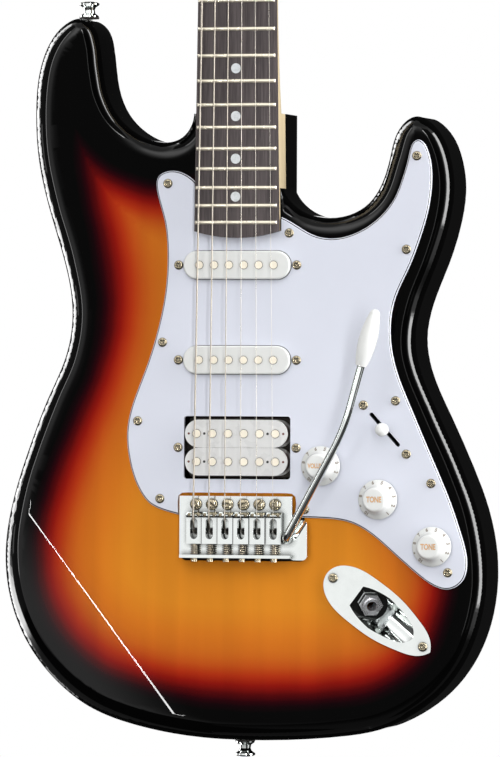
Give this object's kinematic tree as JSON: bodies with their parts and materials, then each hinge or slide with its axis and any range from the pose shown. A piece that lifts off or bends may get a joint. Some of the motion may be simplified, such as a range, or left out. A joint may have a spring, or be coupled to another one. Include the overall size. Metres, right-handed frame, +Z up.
{
  "type": "electric guitar",
  "caption": "Solid-body electric guitar with a double cutaway, sunburst finish, white guard, bolt-on neck, covered pickups, sprung tremolo bridge with arm and recessed jack.",
  "frame": {"origin": "seat of the lower strap button, on the end of the body, on the centre line and in the middle of the body's thickness", "axes": "+Z up the neck, the player's side faces -Y, +X towards the treble side"},
  "size_m": [0.3199, 0.0915, 0.9947],
  "materials": {
    "lacquered_wood": "three-tone sunburst, deep gloss",
    "maple": "satin to gloss clear",
    "rosewood": "oiled, satin",
    "dot": "satin pearl grey",
    "fretwire": "polished nickel silver",
    "nut": "satin",
    "guard": "gloss, three layers white, black, white",
    "white_plastic": "semi-gloss",
    "black_plastic": "matte",
    "chrome": "mirror polished",
    "saddle_metal": "polished",
    "pole_steel": "dull polished",
    "plain_steel": "plain",
    "spring_steel": "plain",
    "string_steel": "polished",
    "copper": "enamelled wire"
  },
  "bodies": {
    "guitar": {"body": "lacquered_wood", "neck": "maple", "fretboard": "rosewood", "position_dots": "dot", "frets": "fretwire", "nut": "nut", "pickguard": "guard", "pickup_covers": "white_plastic", "humbucker_bobbins": "white_plastic", "pickup_flatwork": "black_plastic", "back_cover": "black_plastic", "strap_felts": "black_plastic", "neck_plate": "chrome", "neck_screws": "chrome", "strap_buttons": "chrome", "body_screws": "chrome", "cover_screws": "chrome", "pickup_screws": "chrome", "panel_nuts": "chrome", "jack_plate": "chrome", "pivot_screws": "chrome", "tuner_housings": "chrome", "tuner_bushings": "chrome", "string_trees": "chrome", "output_jack": "saddle_metal", "pole_pieces": "pole_steel", "truss_rod": "plain_steel", "humbucker_baseplate": "plain_steel", "selector_switch": "plain_steel", "potentiometers": "plain_steel", "spring_claw": "plain_steel", "tremolo_springs": "spring_steel", "pickup_springs": "spring_steel", "strings": "string_steel", "pickup_windings": "copper", "wiring_harness": "copper"},
    "tremolo": {"bridge_plate": "chrome", "inertia_block": "plain_steel", "saddles": "saddle_metal", "bridge_screws": "chrome", "intonation_springs": "spring_steel"},
    "arm": {"tremolo_arm": "chrome", "arm_tip": "white_plastic"},
    "volume_knob": {"volume_knob": "white_plastic"},
    "tone_knob_neck": {"tone_knob_neck": "white_plastic"},
    "tone_knob_middle": {"tone_knob_middle": "white_plastic"},
    "selector": {"selector_lever": "plain_steel", "selector_tip": "white_plastic"},
    "post_1": {"tuner_post_1": "chrome"},
    "key_1": {"tuner_key_1": "chrome"},
    "post_2": {"tuner_post_2": "chrome"},
    "key_2": {"tuner_key_2": "chrome"},
    "post_3": {"tuner_post_3": "chrome"},
    "key_3": {"tuner_key_3": "chrome"},
    "post_4": {"tuner_post_4": "chrome"},
    "key_4": {"tuner_key_4": "chrome"},
    "post_5": {"tuner_post_5": "chrome"},
    "key_5": {"tuner_key_5": "chrome"},
    "post_6": {"tuner_post_6": "chrome"},
    "key_6": {"tuner_key_6": "chrome"}
  },
  "joints": [
    {"name": "tremolo_pivot", "type": "hinge", "parent": "guitar", "child": "tremolo", "pos_m": [0, -0.0255, 0.1513], "axis": [1, 0, 0], "range_deg": [-10, 3], "stiffness_Nm_per_rad": 12, "deforming": ["strings", "tremolo_springs"]},
    {"name": "arm_swing", "type": "hinge", "parent": "tremolo", "child": "arm", "pos_m": [0.0348, -0.0265, 0.1291], "axis": [0, -1, 0], "range_deg": [-150, 50]},
    {"name": "volume_turn", "type": "hinge", "parent": "guitar", "child": "volume_knob", "pos_m": [0.0555, -0.0315, 0.1763], "axis": [0, -1, 0], "range_deg": [-135, 135]},
    {"name": "tone_neck_turn", "type": "hinge", "parent": "guitar", "child": "tone_knob_neck", "pos_m": [0.093, -0.0315, 0.1551], "axis": [0, -1, 0], "range_deg": [-135, 135]},
    {"name": "tone_middle_turn", "type": "hinge", "parent": "guitar", "child": "tone_knob_middle", "pos_m": [0.1284, -0.0315, 0.1253], "axis": [0, -1, 0], "range_deg": [-135, 135]},
    {"name": "selector_throw", "type": "hinge", "parent": "guitar", "child": "selector", "pos_m": [0.0971, -0.0075, 0.1997], "axis": [-0.7408, 0, -0.6717], "range_deg": [-24, 24]},
    {"name": "key_1_turn", "type": "hinge", "parent": "guitar", "child": "key_1", "pos_m": [-0.03633, -0.0017, 0.83585], "axis": [-1, 0, 0], "continuous": true},
    {"name": "post_1_turn", "type": "hinge", "parent": "guitar", "child": "post_1", "pos_m": [-0.02133, -0.0225, 0.828], "axis": [0, -1, 0], "continuous": true},
    {"name": "key_2_turn", "type": "hinge", "parent": "guitar", "child": "key_2", "pos_m": [-0.02911, -0.0017, 0.86035], "axis": [-1, 0, 0], "continuous": true},
    {"name": "post_2_turn", "type": "hinge", "parent": "guitar", "child": "post_2", "pos_m": [-0.01411, -0.0225, 0.8525], "axis": [0, -1, 0], "continuous": true},
    {"name": "key_3_turn", "type": "hinge", "parent": "guitar", "child": "key_3", "pos_m": [-0.02188, -0.0017, 0.88485], "axis": [-1, 0, 0], "continuous": true},
    {"name": "post_3_turn", "type": "hinge", "parent": "guitar", "child": "post_3", "pos_m": [-0.00688, -0.0225, 0.877], "axis": [0, -1, 0], "continuous": true},
    {"name": "key_4_turn", "type": "hinge", "parent": "guitar", "child": "key_4", "pos_m": [-0.01467, -0.0017, 0.90935], "axis": [-1, 0, 0], "continuous": true},
    {"name": "post_4_turn", "type": "hinge", "parent": "guitar", "child": "post_4", "pos_m": [0.00033, -0.0225, 0.9015], "axis": [0, -1, 0], "continuous": true},
    {"name": "key_5_turn", "type": "hinge", "parent": "guitar", "child": "key_5", "pos_m": [-0.00752, -0.0017, 0.93385], "axis": [-1, 0, 0], "continuous": true},
    {"name": "post_5_turn", "type": "hinge", "parent": "guitar", "child": "post_5", "pos_m": [0.00748, -0.0225, 0.926], "axis": [0, -1, 0], "continuous": true},
    {"name": "key_6_turn", "type": "hinge", "parent": "guitar", "child": "key_6", "pos_m": [-0.00038, -0.0017, 0.95835], "axis": [-1, 0, 0], "continuous": true},
    {"name": "post_6_turn", "type": "hinge", "parent": "guitar", "child": "post_6", "pos_m": [0.01462, -0.0225, 0.9505], "axis": [0, -1, 0], "continuous": true}
  ],
  "couplings": [
    {"joint": "post_1_turn", "follows": "key_1_turn", "ratio": 0.071429},
    {"joint": "post_2_turn", "follows": "key_2_turn", "ratio": 0.071429},
    {"joint": "post_3_turn", "follows": "key_3_turn", "ratio": 0.071429},
    {"joint": "post_4_turn", "follows": "key_4_turn", "ratio": 0.071429},
    {"joint": "post_5_turn", "follows": "key_5_turn", "ratio": 0.071429},
    {"joint": "post_6_turn", "follows": "key_6_turn", "ratio": 0.071429}
  ]
}
